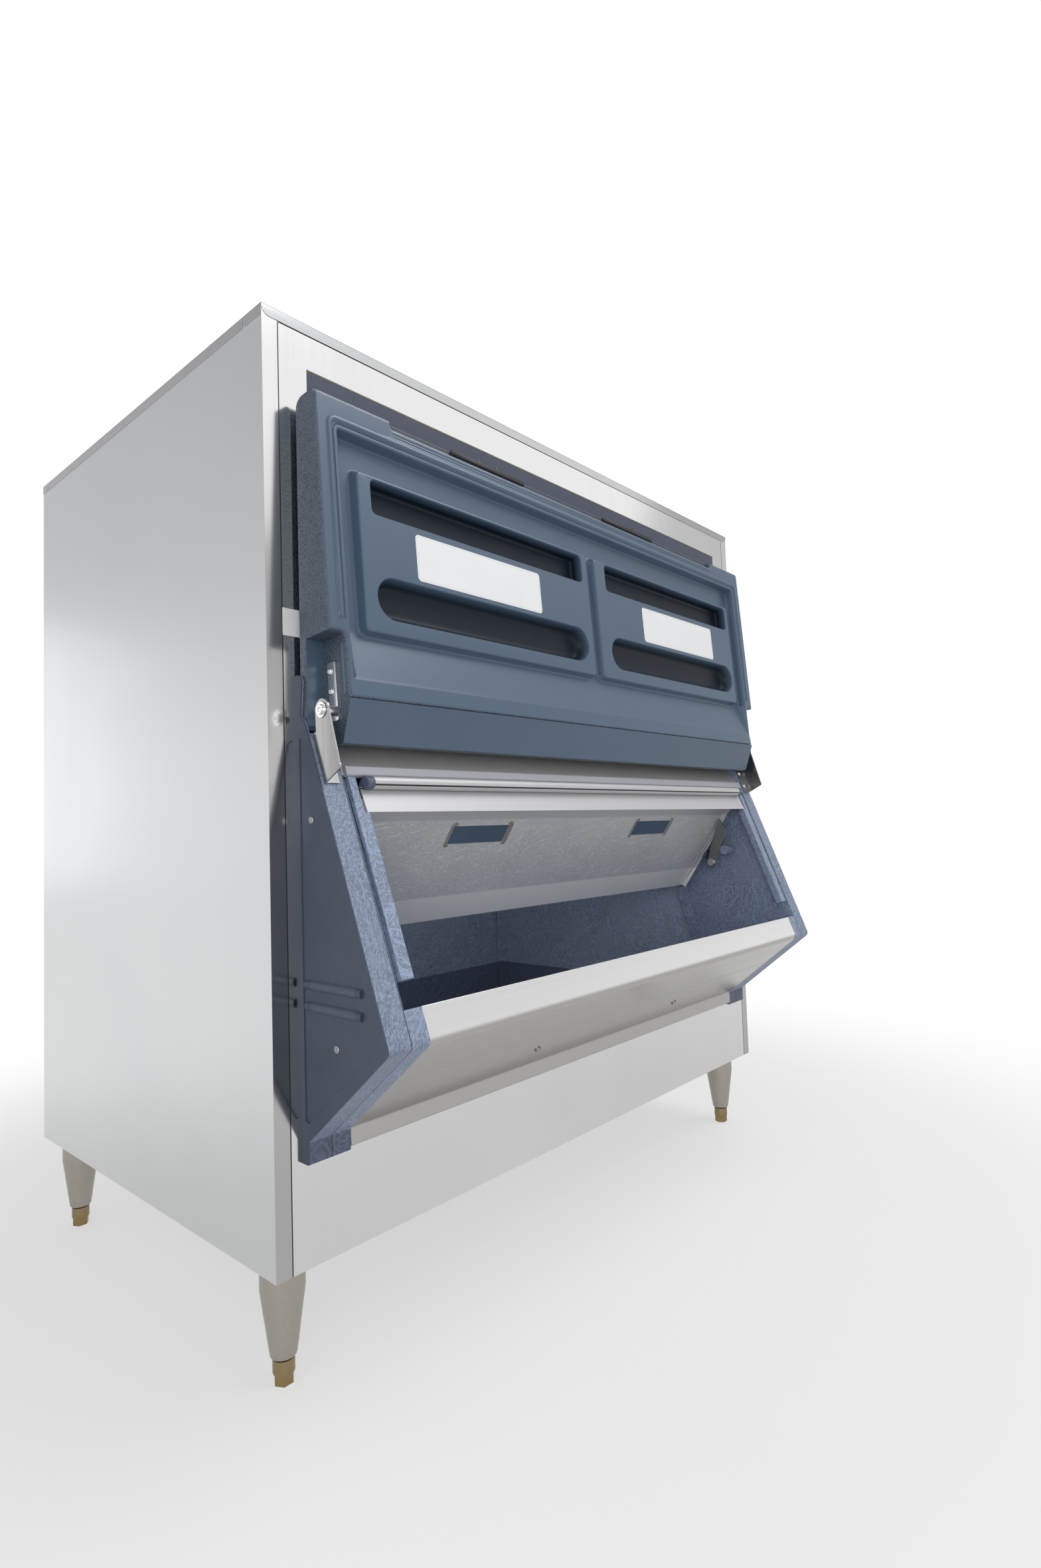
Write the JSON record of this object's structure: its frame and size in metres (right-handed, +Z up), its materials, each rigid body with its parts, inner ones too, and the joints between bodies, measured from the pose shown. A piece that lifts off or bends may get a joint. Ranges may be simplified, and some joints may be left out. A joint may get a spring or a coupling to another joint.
{
  "type": "ice storage bin",
  "caption": "Insulated floor-standing ice storage bin on legs, with a sloping hopper mouth, a lifting ice gate and a door hinged on arms that swings up and leans back.",
  "frame": {"origin": "on the floor, under the middle of the whole object's box", "axes": "+X to the right as seen from the front, -Y out of the front where the hopper is, +Z up"},
  "size_m": [1.2208, 0.9437, 1.3578],
  "materials": {
    "stainless": "brushed, straight grain",
    "bright_steel": "bright zinc or stainless",
    "dark_steel": "dull grey steel",
    "hopper_plastic": "speckled grain",
    "plate_plastic": "smooth satin",
    "bar_vinyl": "semi-gloss",
    "door_plastic": "satin with a fine grain",
    "foam": "rigid foam",
    "window": "tinted clear plastic",
    "trim_rubber": "matt",
    "bush_plastic": "matt",
    "drain_plastic": "matt",
    "label": "vinyl film"
  },
  "bodies": {
    "cabinet": {"arm_bushes": "bush_plastic", "arm_left": "bright_steel", "arm_right": "bright_steel", "arm_screws": "bright_steel", "back_panel": "stainless", "bottom_panel": "stainless", "drain_fitting": "drain_plastic", "edge_bar": "bar_vinyl", "front_panel": "stainless", "front_plate": "plate_plastic", "guide_left": "hopper_plastic", "guide_right": "hopper_plastic", "header_sheet": "stainless", "hopper_foam": "foam", "hopper_front": "stainless", "hopper_liner": "hopper_plastic", "hopper_screws": "bright_steel", "insulation": "foam", "leg_front_left": "stainless", "leg_front_right": "stainless", "leg_rear_left": "stainless", "leg_rear_right": "stainless", "liner": "hopper_plastic", "pawl_studs": "bright_steel", "rating_plate": "label", "side_panel_left": "stainless", "side_panel_right": "stainless", "top_cap": "stainless", "wall_left": "hopper_plastic", "wall_right": "hopper_plastic", "wall_screws": "bright_steel"},
    "door": {"pivot_bolts": "bright_steel", "door_bracket_left": "bright_steel", "door_bracket_right": "bright_steel", "bracket_screws": "bright_steel", "door_inner_skin": "door_plastic", "door_outer_skin": "door_plastic", "door_core": "foam", "door_trim": "trim_rubber", "trim_clips": "trim_rubber", "label_large": "label", "label_small": "label"},
    "gate": {"gate": "stainless", "gate_panes": "window", "gate_end_caps": "hopper_plastic"},
    "pawl_left": {"pawl_left": "dark_steel"},
    "pawl_right": {"pawl_right": "dark_steel"},
    "foot_front_left": {"foot_front_left": "bright_steel"},
    "foot_front_right": {"foot_front_right": "bright_steel"},
    "foot_rear_left": {"foot_rear_left": "bright_steel"},
    "foot_rear_right": {"foot_rear_right": "bright_steel"}
  },
  "joints": [
    {"name": "door_hinge", "type": "hinge", "parent": "cabinet", "child": "door", "pos_m": [0, -0.35108, 0.83744], "axis": [1, 0, 0], "range_deg": [0, 162.9]},
    {"name": "gate_slide", "type": "slide", "parent": "cabinet", "child": "gate", "axis": [0, 0.5736, -0.8192], "range_m": [-0.107, 0]},
    {"name": "pawl_left_hinge", "type": "hinge", "parent": "cabinet", "child": "pawl_left", "pos_m": [-0.49975, -0.29037, 0.59447], "axis": [-1, 0, 0], "range_deg": [0, 4]},
    {"name": "pawl_right_hinge", "type": "hinge", "parent": "cabinet", "child": "pawl_right", "pos_m": [0.49975, -0.29037, 0.59447], "axis": [-1, 0, 0], "range_deg": [0, 4]},
    {"name": "foot_front_left_screw", "type": "slide", "parent": "cabinet", "child": "foot_front_left", "axis": [0, 0, -1], "range_m": [0, 0.025]},
    {"name": "foot_front_right_screw", "type": "slide", "parent": "cabinet", "child": "foot_front_right", "axis": [0, 0, -1], "range_m": [0, 0.025]},
    {"name": "foot_rear_left_screw", "type": "slide", "parent": "cabinet", "child": "foot_rear_left", "axis": [0, 0, -1], "range_m": [0, 0.025]},
    {"name": "foot_rear_right_screw", "type": "slide", "parent": "cabinet", "child": "foot_rear_right", "axis": [0, 0, -1], "range_m": [0, 0.025]}
  ]
}
